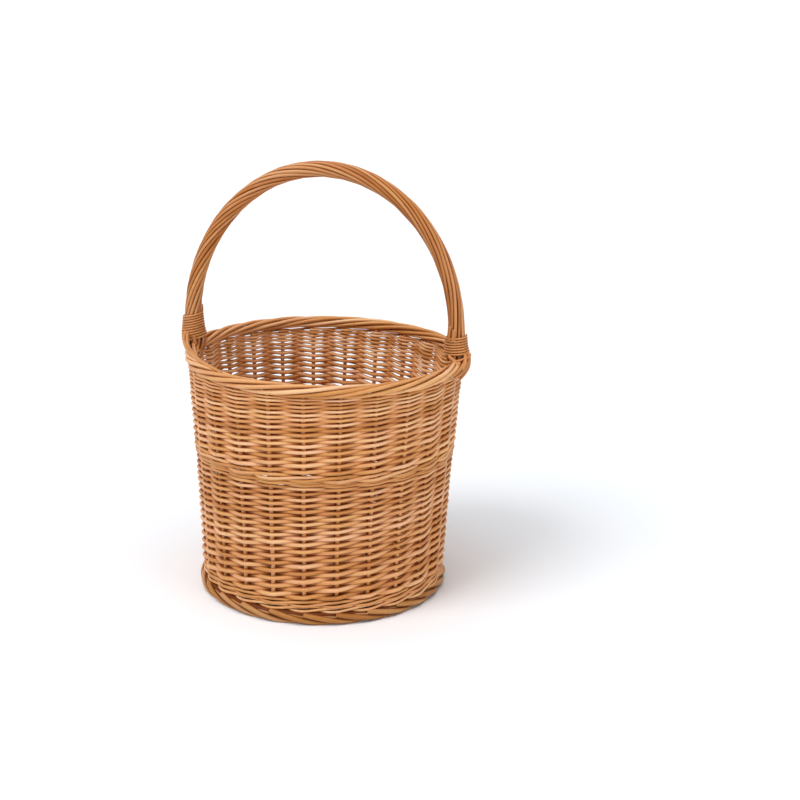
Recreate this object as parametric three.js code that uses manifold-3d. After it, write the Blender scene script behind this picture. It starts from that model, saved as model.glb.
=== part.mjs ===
// A round hand basket of peeled willow with a fixed bow handle.
// Millimetres, +Z up. The origin is on the floor, under the middle of the basket.
// The handle's plane is the XZ plane, and its feet stand on the rim at -X and +X.

import * as THREE from "three";
import { mergeVertices } from "three/addons/utils/BufferGeometryUtils.js";
import Module from "manifold-3d";

const wasm = await Module();
wasm.setup();

// Rods
const stakeDiameter = 4;
const weaverDiameter = 4.2;
const baseStickDiameter = 6.5;
const footRodDiameter = 6.5;
const bindingRodDiameter = 2.3;
const wrapRodDiameter = 3.7;

// Wall: the circle on which the stakes stand, at the foot and under the rim
const stakeCount = 24;
const footRadius = 127.2;
const rimRadius = 143;
const flarePower = 1.35;
const hollowShare = 0.36; // thickness of the wall halfway between two stakes, as a share of it at a stake

// Bands of the wall, from the floor up
const footHeight = 13.5;
const upsettHeight = 14.2;
const lowerWeaveHeight = 123.7;
const waistWaleHeight = 15.7;
const upperWeaveHeight = 69.7;
const topWaleHeight = 9.2;
const borderHeight = 14;
const borderWidth = 14;

// Rows of the two randed bands. They close up evenly from the first to the last
const lowerRows = 17;
const lowerFirstPitch = 9.1;
const upperRows = 12;
const upperFirstPitch = 7.6;
const rowValley = 3.5; // half the wall's thickness at a stake, between two rows

// Base
const baseWeaveThickness = 13.5;
const baseEyeRadius = 18; // the middle of the base that the weaving leaves open
const baseStickSpacing = 8;
const baseStickCrossing = 20; // half the stretch where the crossed sticks lie side by side
const slitHeight = 4;
const stickEndRecess = 1.5; // how far the sticks' ends lie inside the edge of the base
const stakeLegLength = 34;
const stakeBendRadius = 8;

// Handle
const coreDiameter = 10;
const legDiameter = 6; // the core's foot, cut down to pass through the border
const legTipDiameter = 4;
const legDepth = 87; // how far the core's foot goes down into the wall below the rim
const stakeToLeg = 1.5; // between the core's foot and the stake beside it
const springHeight = 22; // straight part of the handle above the rim
const bowRise = 165; // from the end of the straight part to the middle of the bow's crown
const wrapBands = 3;
const rodsPerBand = 4;
const wrapTurns = 2;
const valleyShare = 0.2; // depth of the valley between two rods, as a share of a rod
const footSpread = 3; // how much wider the wrapped handle gets at its feet
const footSpreadHeight = 40;

// Bindings round the handle's feet
const leftTurns = 9.5;
const rightTurns = 7;
const turnGap = 0.45; // between one turn and the next
const tailTurn = 2.6; // radius of the bend from the winding to its tail
const tailRun = 11; // how far the tail comes down before it turns in to the wall

// Clearances
const seatGap = 0.3; // between pieces that rest on each other
const rodGap = 0.3; // round a rod in its channel
const channelOverrun = 1; // how far a channel runs on past the end of its rod

// Heights of the bands and of the handle, from the values above
const upsettLow = footHeight + seatGap;
const upsettTop = upsettLow + upsettHeight;
const lowerWeaveLow = upsettTop + seatGap;
const lowerWeaveTop = lowerWeaveLow + lowerWeaveHeight;
const waistLow = lowerWeaveTop + seatGap;
const waistTop = waistLow + waistWaleHeight;
const upperWeaveLow = waistTop + seatGap;
const upperWeaveTop = upperWeaveLow + upperWeaveHeight;
const topWaleLow = upperWeaveTop + seatGap;
const topWaleTop = topWaleLow + topWaleHeight;
const borderLow = topWaleTop + seatGap;
const rimTop = borderLow + borderHeight;
const springZ = rimTop + springHeight;
const stakeTop = borderLow - seatGap;
const wallHalf = stakeDiameter / 2 + weaverDiameter;
const bundleRadius = coreDiameter / 2 + rodGap + wrapRodDiameter;

// A stake stands close beside each foot of the handle
const firstStake =
  (stakeDiameter / 2 + legDiameter / 2 + stakeToLeg) / rimRadius;
const stakeStep = (2 * Math.PI) / stakeCount;

const buff = { roughness: 0.55, metalness: 0 };
const colours = {
  stake: 0xb57a45,
  weave: 0xcf8f55,
  wale: 0xc08048,
  border: 0xc98a4e,
  handle: 0xc4834a,
  binding: 0xbb7b47,
};

const basket = new THREE.Group();

function addPiece(name, geometry, colour) {
  const material = new THREE.MeshStandardMaterial({ color: colour, ...buff });
  const mesh = new THREE.Mesh(geometry, material);
  mesh.name = name;
  basket.add(mesh);
}

// Booleans on closed geometries
function toSolid(geometry) {
  const bare = geometry.clone();
  bare.deleteAttribute("normal");
  bare.deleteAttribute("uv");
  const merged = mergeVertices(bare, 1e-4);
  return new wasm.Manifold(
    new wasm.Mesh({
      numProp: 3,
      vertProperties: new Float32Array(merged.attributes.position.array),
      triVerts: new Uint32Array(merged.index.array),
    }),
  );
}

function toGeometry(solid) {
  const mesh = solid.getMesh();
  const geometry = new THREE.BufferGeometry();
  geometry.setAttribute(
    "position",
    new THREE.BufferAttribute(mesh.vertProperties, 3),
  );
  geometry.setIndex(new THREE.BufferAttribute(mesh.triVerts, 1));
  geometry.computeVertexNormals();
  return geometry;
}

function cutAway(geometry, cutters) {
  let solid = toSolid(geometry);
  for (const cutter of cutters) solid = solid.subtract(toSolid(cutter));
  return toGeometry(solid);
}

// A curve whose even steps fall on its own points, so a bend has points and a straight has none
class KnotCurve extends THREE.CatmullRomCurve3 {
  getUtoTmapping(u) {
    return u;
  }
}

function roundSection(radius, sides) {
  const points = [];
  for (let i = 0; i < sides; i++) {
    const angle = (2 * Math.PI * (i + 0.5)) / sides;
    points.push(
      new THREE.Vector2(radius * Math.cos(angle), radius * Math.sin(angle)),
    );
  }
  return new THREE.Shape(points);
}

// A rod of one thickness along a list of points
function rod(points, radius, sides) {
  return new THREE.ExtrudeGeometry(roundSection(radius, sides), {
    steps: points.length - 1,
    extrudePath: new KnotCurve(points),
    bevelEnabled: false,
  });
}

// The square channel that a rod of a given radius lies in
function channel(points, rodRadius) {
  return rod(points, (rodRadius + rodGap) * Math.SQRT2, 4);
}

// A closed solid through rings of points, each ring running the same way round
function loft(rings) {
  const count = rings[0].length;
  const positions = [];
  const index = [];
  for (const ring of rings)
    for (const p of ring) positions.push(p.x, p.y, p.z);
  for (let i = 0; i + 1 < rings.length; i++)
    for (let j = 0; j < count; j++) {
      const a = i * count + j;
      const b = i * count + ((j + 1) % count);
      index.push(a, b, a + count, b, b + count, a + count);
    }
  const last = (rings.length - 1) * count;
  const outline = (ring, frame) =>
    ring.map((p) => {
      const d = p.clone().sub(frame.origin);
      return new THREE.Vector2(d.dot(frame.u), d.dot(frame.v));
    });
  for (const [ring, start, flip] of [
    [rings[0], 0, true],
    [rings[rings.length - 1], last, false],
  ]) {
    const u = ring[1].clone().sub(ring[0]).normalize();
    const across = ring[Math.floor(count / 2)].clone().sub(ring[0]);
    const v = across.addScaledVector(u, -across.dot(u)).normalize();
    const faces = THREE.ShapeUtils.triangulateShape(
      outline(ring, { origin: ring[0], u, v }),
      [],
    );
    for (const [a, b, c] of faces) {
      if (flip) index.push(start + a, start + c, start + b);
      else index.push(start + a, start + b, start + c);
    }
  }
  const geometry = new THREE.BufferGeometry();
  geometry.setAttribute(
    "position",
    new THREE.Float32BufferAttribute(positions, 3),
  );
  geometry.setIndex(index);
  geometry.computeVertexNormals();
  return geometry;
}

// Wall: radius of the stakes' circle at a height
function stakeRadiusAt(z) {
  const rise = (z - upsettLow) / (rimTop - borderHeight / 2 - upsettLow);
  const share = Math.min(1, Math.max(0, rise));
  return footRadius + (rimRadius - footRadius) * share ** flarePower;
}

// Turn a profile (x = radius, y = height) about Z. The first segment starts at the given azimuth.
function turned(profile, segments, azimuth) {
  const closed = [...profile, profile[0]];
  const geometry = new THREE.LatheGeometry(
    closed.map(([r, z]) => new THREE.Vector2(r, z)),
    segments,
    azimuth + Math.PI / 2,
  );
  geometry.rotateX(Math.PI / 2);
  return geometry;
}

// A waled band is thick where it goes round a stake and thin halfway to the next one
function wovenBand(low, top, half) {
  const lowRadius = stakeRadiusAt(low);
  const topRadius = stakeRadiusAt(top);
  const geometry = turned(
    [
      [lowRadius - half, low],
      [lowRadius + half, low],
      [topRadius + half, top],
      [topRadius - half, top],
    ],
    2 * stakeCount,
    firstStake,
  );
  const position = geometry.attributes.position;
  for (let i = 0; i < position.count; i++) {
    const x = position.getX(i);
    const y = position.getY(i);
    const angle = Math.atan2(y, x) - firstStake;
    const wave = 0.5 + 0.5 * Math.cos(stakeCount * angle);
    const share = hollowShare + (1 - hollowShare) * wave;
    const middle = stakeRadiusAt(position.getZ(i));
    const radius = middle + (Math.hypot(x, y) - middle) * share;
    position.setX(i, (radius * x) / Math.hypot(x, y));
    position.setY(i, (radius * y) / Math.hypot(x, y));
  }
  return geometry;
}

// Heights of a band's rows, the pitch between them falling evenly so that the last row fits
function rowHeights(low, top, rows, firstPitch) {
  const rise = top - low - weaverDiameter;
  const lastPitch = (2 * rise) / (rows - 1) - firstPitch;
  const heights = [];
  for (let i = 0; i < rows; i++)
    heights.push(
      low +
        weaverDiameter / 2 +
        firstPitch * i +
        ((lastPitch - firstPitch) * i * i) / (2 * (rows - 1)),
    );
  return heights;
}

// A randed band stands out in a ridge where each row passes in front of a stake, and is thin
// halfway to the next stake. Only every third row has a point of its own there.
function randedBand(low, top, rows, firstPitch) {
  const heights = rowHeights(low, top, rows, firstPitch);
  const valleys = heights.slice(1).map((z, i) => (z + heights[i]) / 2);
  const atStake = [
    [low, rowValley],
    ...heights.flatMap((z, i) =>
      i < valleys.length
        ? [
            [z, wallHalf],
            [valleys[i], rowValley],
          ]
        : [[z, wallHalf]],
    ),
    [top, rowValley],
  ];
  const thin = hollowShare * wallHalf;
  const between = [
    [low, thin],
    ...valleys.filter((z, i) => i % 3 === 2).map((z) => [z, thin]),
    [top, thin],
  ];
  const positions = [];
  const place = (azimuth, z, out) => {
    const share = (z - low) / (top - low);
    const middle =
      stakeRadiusAt(low) + (stakeRadiusAt(top) - stakeRadiusAt(low)) * share;
    const radius = middle + out;
    positions.push(radius * Math.cos(azimuth), radius * Math.sin(azimuth), z);
    return positions.length / 3 - 1;
  };
  const columns = [];
  for (let i = 0; i < 2 * stakeCount; i++) {
    const azimuth = firstStake + (i * stakeStep) / 2;
    const outer = i % 2 === 0 ? atStake : between;
    const inner = i % 2 === 0 ? -wallHalf : -thin;
    columns.push({
      outer: outer.map(([z, out]) => ({ z, at: place(azimuth, z, out) })),
      inner: [low, top].map((z) => ({ z, at: place(azimuth, z, inner) })),
    });
  }
  const index = [];
  // Closes the strip between two columns, going on each time to the lower of the next two points
  const strip = (left, right) => {
    let i = 0;
    let j = 0;
    while (i + 1 < left.length || j + 1 < right.length) {
      const goLeft =
        j + 1 === right.length ||
        (i + 1 < left.length && left[i + 1].z <= right[j + 1].z);
      if (goLeft) index.push(left[i].at, right[j].at, left[i + 1].at);
      else index.push(left[i].at, right[j].at, right[j + 1].at);
      if (goLeft) i += 1;
      else j += 1;
    }
  };
  columns.forEach((left, i) => {
    const right = columns[(i + 1) % columns.length];
    strip(left.outer, right.outer);
    strip(right.inner, left.inner);
    for (const [a, b, c, d] of [
      [left.inner[0], right.inner[0], right.outer[0], left.outer[0]],
      [left.outer.at(-1), right.outer.at(-1), right.inner[1], left.inner[1]],
    ])
      index.push(a.at, b.at, c.at, a.at, c.at, d.at);
  });
  const geometry = new THREE.BufferGeometry();
  geometry.setAttribute(
    "position",
    new THREE.Float32BufferAttribute(positions, 3),
  );
  geometry.setIndex(index);
  geometry.computeVertexNormals();
  return geometry;
}

// A stake lies in the base, turns up at its edge and stands in the wall
const baseMiddle = upsettLow + stakeDiameter / 2 + weaverDiameter;

function stakeLine(azimuth, extra) {
  const edge = stakeRadiusAt(upsettLow);
  const bendStart = edge - stakeBendRadius;
  const diagonal = stakeBendRadius * Math.SQRT1_2;
  const profile = [
    [bendStart - stakeLegLength - extra, baseMiddle],
    [bendStart, baseMiddle],
    [bendStart + diagonal, baseMiddle + stakeBendRadius - diagonal],
    [edge, baseMiddle + stakeBendRadius],
    [stakeRadiusAt(upperWeaveLow), upperWeaveLow],
    [stakeRadiusAt(stakeTop), stakeTop + extra],
  ];
  return profile.map(
    ([r, z]) =>
      new THREE.Vector3(r * Math.cos(azimuth), r * Math.sin(azimuth), z),
  );
}

const stakeSides = 6;
const stakes = [];
const stakeChannels = [];
for (let i = 0; i < stakeCount; i++) {
  const azimuth = firstStake + i * stakeStep;
  stakes.push(rod(stakeLine(azimuth, 0), stakeDiameter / 2, stakeSides));
  stakeChannels.push(
    channel(stakeLine(azimuth, channelOverrun), stakeDiameter / 2),
  );
}
stakes.forEach((stake, i) => {
  addPiece(`stake_${String(i + 1).padStart(2, "0")}`, stake, colours.stake);
});

// Base sticks: three pierced, three through their slits, fanned out to twelve even rays
const rayTurn = firstStake + stakeStep / 2;
const baseEdge = footRadius - wallHalf - seatGap;
const stickReach = baseEdge - stickEndRecess;
const fan = (2 * Math.PI) / 12;

function stickLine(across, lane, extra) {
  const reach = stickReach + extra;
  const end = [reach * Math.cos(lane * fan), reach * Math.sin(lane * fan)];
  const side = lane * baseStickSpacing;
  const half = [end, [baseStickCrossing, side]];
  const plan = [
    ...half,
    ...half
      .slice()
      .reverse()
      .map(([x, y]) => [-x, y]),
  ];
  const turn = rayTurn + (across ? Math.PI / 2 : 0);
  return plan.map(
    ([x, y]) =>
      new THREE.Vector3(
        x * Math.cos(turn) - y * Math.sin(turn),
        x * Math.sin(turn) + y * Math.cos(turn),
        baseMiddle,
      ),
  );
}

function turnedBox(sizeX, sizeY, sizeZ, turn) {
  const box = new THREE.BoxGeometry(sizeX, sizeY, sizeZ);
  box.rotateZ(turn);
  box.translate(0, 0, baseMiddle);
  return box;
}

const stickSides = 6;
const stickChannels = [];
const slitLength = 2 * baseStickSpacing + baseStickDiameter + 2 * rodGap;
for (const lane of [-1, 0, 1]) {
  const pierced = rod(
    stickLine(false, lane, 0),
    baseStickDiameter / 2,
    stickSides,
  );
  const slit = turnedBox(
    slitLength,
    4 * baseStickSpacing,
    slitHeight,
    rayTurn,
  );
  addPiece(
    `base_stick_pierced_${lane + 2}`,
    cutAway(pierced, [slit]),
    colours.stake,
  );
  const through = rod(
    stickLine(true, lane, 0),
    baseStickDiameter / 2,
    stickSides,
  );
  const shaved = [1, -1].map((up) => {
    const slab = turnedBox(
      4 * baseStickSpacing,
      slitLength,
      baseStickDiameter,
      rayTurn,
    );
    const away = slitHeight / 2 - rodGap + baseStickDiameter / 2;
    slab.translate(0, 0, up * away);
    return slab;
  });
  addPiece(
    `base_stick_through_${lane + 2}`,
    cutAway(through, shaved),
    colours.stake,
  );
  for (const across of [false, true])
    stickChannels.push(
      channel(
        stickLine(across, lane, stickEndRecess + channelOverrun),
        baseStickDiameter / 2,
      ),
    );
}

// Base weave: a flat ring round the sticks and the stakes' legs
const baseWeave = turned(
  [
    [baseEyeRadius, baseMiddle - baseWeaveThickness / 2],
    [baseEdge, baseMiddle - baseWeaveThickness / 2],
    [baseEdge, baseMiddle + baseWeaveThickness / 2],
    [baseEyeRadius, baseMiddle + baseWeaveThickness / 2],
  ],
  stakeCount,
  rayTurn,
);
addPiece(
  "base_weave",
  cutAway(baseWeave, [...stickChannels, ...stakeChannels]),
  colours.weave,
);

// Foot border: a roll of thick rods, flat where it stands
const rollShare = 0.42; // half the flat, as a share of the roll's half width

function rolledRing(radius, low, width, height, flatBottom) {
  const halfWidth = width / 2;
  const flat = halfWidth * rollShare;
  const shoulder = (height / 2) * (1 - rollShare);
  const foot = flatBottom ? 0.7 : 1;
  const profile = [
    [radius - flat, low],
    [radius + flat, low],
    [radius + halfWidth, low + shoulder * foot],
    [radius + halfWidth, low + height - shoulder],
    [radius + flat, low + height],
    [radius - flat, low + height],
    [radius - halfWidth, low + height - shoulder],
    [radius - halfWidth, low + shoulder * foot],
  ];
  return turned(profile, 2 * stakeCount, firstStake);
}

addPiece(
  "foot_border",
  rolledRing(footRadius, 0, 2 * footRodDiameter, footHeight, true),
  colours.border,
);

// Handle: a line up the left foot, over the bow and down the right foot
const legLine = [
  [rimTop - legDepth, legTipDiameter / 2],
  [borderLow - topWaleHeight, legDiameter / 2],
  [rimTop, legDiameter / 2],
];

function legPoint(side, z) {
  const radius = z >= borderLow ? rimRadius : stakeRadiusAt(z);
  return new THREE.Vector3(side * radius, 0, z);
}

const bowPoints = 16;
const bowCurve = [];
for (let i = 0; i <= bowPoints; i++) {
  const angle = Math.PI * (1 - i / bowPoints);
  bowCurve.push(
    new THREE.Vector3(
      rimRadius * Math.cos(angle),
      0,
      springZ + bowRise * Math.sin(angle),
    ),
  );
}

// The handle above the rim, in even steps that the core and its wrapping share
const bowSteps = 32;
const bowLow = rimTop + seatGap;
const bowLine = new THREE.CatmullRomCurve3([
  new THREE.Vector3(-rimRadius, 0, bowLow),
  new THREE.Vector3(-rimRadius, 0, (bowLow + springZ) / 2),
  ...bowCurve,
  new THREE.Vector3(rimRadius, 0, (bowLow + springZ) / 2),
  new THREE.Vector3(rimRadius, 0, bowLow),
]).getSpacedPoints(bowSteps);

// Rings square to a line in the XZ plane; section(i) gives the ring's points as [radius, angle]
function ringsAlong(points, section) {
  return points.map((p, i) => {
    const before = points[Math.max(0, i - 1)];
    const after = points[Math.min(points.length - 1, i + 1)];
    const tangent = after.clone().sub(before).normalize();
    const side = new THREE.Vector3(0, 1, 0);
    const out = tangent.cross(side);
    return section(i, p).map(([radius, angle]) =>
      p
        .clone()
        .addScaledVector(out, radius * Math.sin(angle))
        .addScaledVector(side, radius * Math.cos(angle)),
    );
  });
}

const coreSides = 8;

function handleCore(extra) {
  const left = legLine.map(([z, r]) => [legPoint(-1, z), r + extra]);
  const right = legLine.map(([z, r]) => [legPoint(1, z), r + extra]).reverse();
  left[0][0].z -= extra;
  right[right.length - 1][0].z -= extra;
  const bow = bowLine.map((p) => [p, coreDiameter / 2 + extra]);
  const line = [...left, ...bow, ...right];
  const rings = ringsAlong(
    line.map(([p]) => p),
    (i) => {
      const ring = [];
      for (let j = 0; j < coreSides; j++)
        ring.push([line[i][1], (2 * Math.PI * (j + 0.5)) / coreSides]);
      return ring;
    },
  );
  return loft(rings);
}

const legChannel = handleCore(rodGap);
addPiece("handle_core", handleCore(0), colours.handle);

// Bands of the wall, each with a channel for every stake and, higher up, for the handle's feet
addPiece(
  "upsett_wale",
  cutAway(wovenBand(upsettLow, upsettTop, wallHalf), stakeChannels),
  colours.wale,
);
addPiece(
  "lower_weave",
  cutAway(
    randedBand(lowerWeaveLow, lowerWeaveTop, lowerRows, lowerFirstPitch),
    stakeChannels,
  ),
  colours.weave,
);
addPiece(
  "waist_wale",
  cutAway(wovenBand(waistLow, waistTop, wallHalf), stakeChannels),
  colours.wale,
);
addPiece(
  "upper_weave",
  cutAway(
    randedBand(upperWeaveLow, upperWeaveTop, upperRows, upperFirstPitch),
    [...stakeChannels, legChannel],
  ),
  colours.weave,
);
addPiece(
  "top_wale",
  cutAway(wovenBand(topWaleLow, topWaleTop, wallHalf), [
    ...stakeChannels,
    legChannel,
  ]),
  colours.wale,
);

// Rim border: the stakes' ends laid down into one roll
addPiece(
  "rim_border",
  cutAway(
    rolledRing(rimRadius, borderLow, borderWidth, borderHeight, false),
    [legChannel],
  ),
  colours.border,
);

// Radius of the wrapped handle, wider towards its feet
function bundleRadiusAt(z) {
  const above = Math.max(0, z - rimTop) / footSpreadHeight;
  return bundleRadius + footSpread * Math.max(0, 1 - above) ** 2;
}

// Wrapping: bands of rods laid side by side, twisted round the core from foot to foot
function wrapSection(band, turn, outer) {
  const span = (2 * Math.PI) / wrapBands;
  const inner = coreDiameter / 2 + 2 * rodGap;
  const gapAngle = rodGap / inner;
  const start = band * span + turn + gapAngle;
  const width = span - 2 * gapAngle;
  const ring = [];
  const outerPoints = 2 * rodsPerBand;
  for (let j = 0; j <= outerPoints; j++) {
    const crest = j % 2 === 1;
    const radius = crest ? outer : outer - valleyShare * wrapRodDiameter;
    ring.push([radius, start + (width * j) / outerPoints]);
  }
  const innerPoints = 4;
  const innerStart = start + 2 * gapAngle;
  const innerWidth = width - 4 * gapAngle;
  for (let j = innerPoints; j >= 0; j--)
    ring.push([inner, innerStart + (innerWidth * j) / innerPoints]);
  return ring;
}

for (let band = 0; band < wrapBands; band++) {
  const rings = ringsAlong(bowLine, (i, p) =>
    wrapSection(
      band,
      (2 * Math.PI * wrapTurns * i) / bowSteps,
      bundleRadiusAt(p.z),
    ),
  );
  addPiece(`handle_wrap_${band + 1}`, loft(rings), colours.handle);
}

// Bindings: one rod wound up round each foot. Its lower end comes down outside the border and
// turns in under it to the wall, and its upper end stands up beside the handle.
const stepsPerTurn = 16;
const bindingSides = 5;
const bindingRadius = bindingRodDiameter / 2;

function bindingLine(side, turns) {
  const pitch = bindingRodDiameter + turnGap;
  const low = rimTop + tailTurn;
  const facing = side > 0 ? 0 : Math.PI;
  const place = (radius, angle, z) =>
    new THREE.Vector3(
      side * rimRadius + radius * Math.cos(facing + angle),
      radius * Math.sin(facing + angle),
      z,
    );
  // The points lie on a circle whose straight steps clear the wrapped handle
  const windingRadius = (z) =>
    (bundleRadiusAt(z) + rodGap + bindingRadius) /
    Math.cos(Math.PI / stepsPerTurn);
  const points = [];
  const startRadius = windingRadius(low);
  const tailAngle = -tailTurn / startRadius;
  const wallFace =
    stakeRadiusAt(topWaleLow) + wallHalf + rodGap - rimRadius;
  const tailLow = low - tailTurn - tailRun;
  points.push(place(wallFace, tailAngle, tailLow - tailTurn));
  points.push(
    place(wallFace + bindingRodDiameter, tailAngle, tailLow - tailTurn),
  );
  const bend = startRadius - tailTurn;
  for (let j = 0; j <= 4; j++) {
    const a = (Math.PI / 2) * (j / 4);
    points.push(
      place(
        bend + tailTurn * Math.sin(a),
        tailAngle,
        tailLow - tailTurn * Math.cos(a),
      ),
    );
  }
  points.push(place(startRadius, tailAngle, low - tailTurn));
  for (let j = 1; j < 4; j++) {
    const a = (Math.PI / 2) * (j / 4);
    points.push(
      place(
        startRadius,
        tailAngle + (tailTurn * (1 - Math.cos(a))) / startRadius,
        low - tailTurn + tailTurn * Math.sin(a),
      ),
    );
  }
  const count = Math.round(turns * stepsPerTurn);
  for (let j = 0; j <= count; j++) {
    const z = low + (pitch * j) / stepsPerTurn;
    points.push(place(windingRadius(z), (2 * Math.PI * j) / stepsPerTurn, z));
  }
  const top = low + (pitch * count) / stepsPerTurn;
  const endAngle = (2 * Math.PI * count) / stepsPerTurn;
  const endRadius = windingRadius(top);
  for (let j = 1; j <= 4; j++) {
    const a = (Math.PI / 2) * (j / 4);
    points.push(
      place(
        endRadius,
        endAngle + (tailTurn * Math.sin(a)) / endRadius,
        top + tailTurn * (1 - Math.cos(a)),
      ),
    );
  }
  points.push(
    place(
      endRadius,
      endAngle + tailTurn / endRadius,
      top + tailTurn + bindingRodDiameter,
    ),
  );
  return points;
}

// Least distance between stretches of the line that aren't next to each other, less the rod
function leastGap(points) {
  let least = Infinity;
  const apart = 3 * bindingRodDiameter;
  const travelled = [0];
  for (let i = 1; i < points.length; i++)
    travelled.push(travelled[i - 1] + points[i].distanceTo(points[i - 1]));
  for (let i = 0; i < points.length; i++)
    for (let j = i + 1; j < points.length; j++)
      if (travelled[j] - travelled[i] > apart)
        least = Math.min(least, points[i].distanceTo(points[j]));
  return least - bindingRodDiameter;
}

for (const [name, side, turns] of [
  ["binding_left", -1, leftTurns],
  ["binding_right", 1, rightTurns],
]) {
  const line = bindingLine(side, turns);
  console.log(`${name}: least gap to itself ${leastGap(line).toFixed(2)} mm`);
  addPiece(name, rod(line, bindingRadius, bindingSides), colours.binding);
}

export default basket;
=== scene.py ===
import bpy
import numpy as np
from mathutils import Matrix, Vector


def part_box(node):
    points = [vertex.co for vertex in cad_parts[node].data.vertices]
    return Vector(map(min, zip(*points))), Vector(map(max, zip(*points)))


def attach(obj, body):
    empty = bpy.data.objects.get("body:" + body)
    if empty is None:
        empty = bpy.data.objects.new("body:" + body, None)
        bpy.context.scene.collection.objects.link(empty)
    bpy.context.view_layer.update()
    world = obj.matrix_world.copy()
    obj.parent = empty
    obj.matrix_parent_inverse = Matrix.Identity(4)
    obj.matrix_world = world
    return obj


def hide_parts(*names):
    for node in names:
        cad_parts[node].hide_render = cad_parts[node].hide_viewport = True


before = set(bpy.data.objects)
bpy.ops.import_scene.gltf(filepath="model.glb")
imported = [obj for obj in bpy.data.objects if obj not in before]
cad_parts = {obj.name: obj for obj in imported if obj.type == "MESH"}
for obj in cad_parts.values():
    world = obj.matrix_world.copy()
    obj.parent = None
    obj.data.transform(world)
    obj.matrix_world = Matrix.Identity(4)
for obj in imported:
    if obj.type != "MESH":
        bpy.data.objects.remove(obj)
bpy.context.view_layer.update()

# A round willow basket, rod by rod. Shapes are worked out in millimetres and set down in metres.
mm = 0.001
rng = np.random.default_rng(11)
print("frame loaded,", len(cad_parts), "nodes")

# The wall that every rod is woven on. A place round it is counted in stake spacings, from stake 1
wall = {
    "stakes": 24,
    "firstStake": 0.04545,  # turn of stake 1, in radians
    "footRadius": 127.2,
    "rimRadius": 143.0,
    "flareLow": 13.8,
    "flareHigh": 254.8,
    "flarePower": 1.35,
    "stakeRadius": 2.0,
}


def levels(node):
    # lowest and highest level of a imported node
    low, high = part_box(node)
    return low.z / mm, high.z / mm


def wallRadius(z):
    # middle of the wall: the foot's radius plus the flare times a power of the height's share
    share = np.clip((z - wall["flareLow"]) / (wall["flareHigh"] - wall["flareLow"]), 0, 1)
    return wall["footRadius"] + (wall["rimRadius"] - wall["footRadius"]) * share ** wall["flarePower"]


def turnAt(s):
    # angle round the basket of a place s stake spacings from stake 1
    return wall["firstStake"] + 2 * np.pi * s / wall["stakes"]


def onCircle(radius, s, z):
    # cylinder coordinates to points: radius * cosine, radius * sine, height
    a = turnAt(s)
    return np.stack(np.broadcast_arrays(radius * np.cos(a), radius * np.sin(a), z), -1)


def onWall(s, out, z):
    # a point s spacings round the wall, out from its middle, z up
    return onCircle(wallRadius(z) + out, s, z)


def smooth(x):
    # eases from 0 to 1: 3x squared minus 2x cubed
    x = np.clip(x, 0, 1)
    return x * x * (3 - 2 * x)


def zigzag(x, bend=0.85):
    # swings from 1 at even x to -1 at odd x, with a bend there: part straight lines, part cosine
    return bend * (2 * np.abs(np.mod(x, 2) - 1) - 1) + (1 - bend) * np.cos(np.pi * x)


def sway(shape, x, size, waves):
    # slow wander along each rod: a sum of sines of random phase, one row for each rod
    total = np.zeros(shape)
    for wave in waves:
        phase = rng.uniform(0, 2 * np.pi, (shape[0], 1))
        total = total + np.sin(2 * np.pi * x / wave + phase) / len(waves)
    return size * total


def circleSection(sides):
    # unit circle as (one side, other side) pairs
    a = 2 * np.pi * np.arange(sides) / sides
    return np.stack([np.cos(a), np.sin(a)], -1)


grainReach = 900  # each rod's grain starts somewhere in so many millimetres of it
# how far skin faces out before it counts as bare, and below which it counts as tucked in
tuckLimits = {"bundle": (-0.25, 0.7), "weave": (-1.8, 3.0)}


def tuckedBelow(facing, limits):
    # 1 below the lower limit, easing to 0 at the upper one
    low, high = limits
    return 1 - smooth((facing - low) / (high - low))


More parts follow.
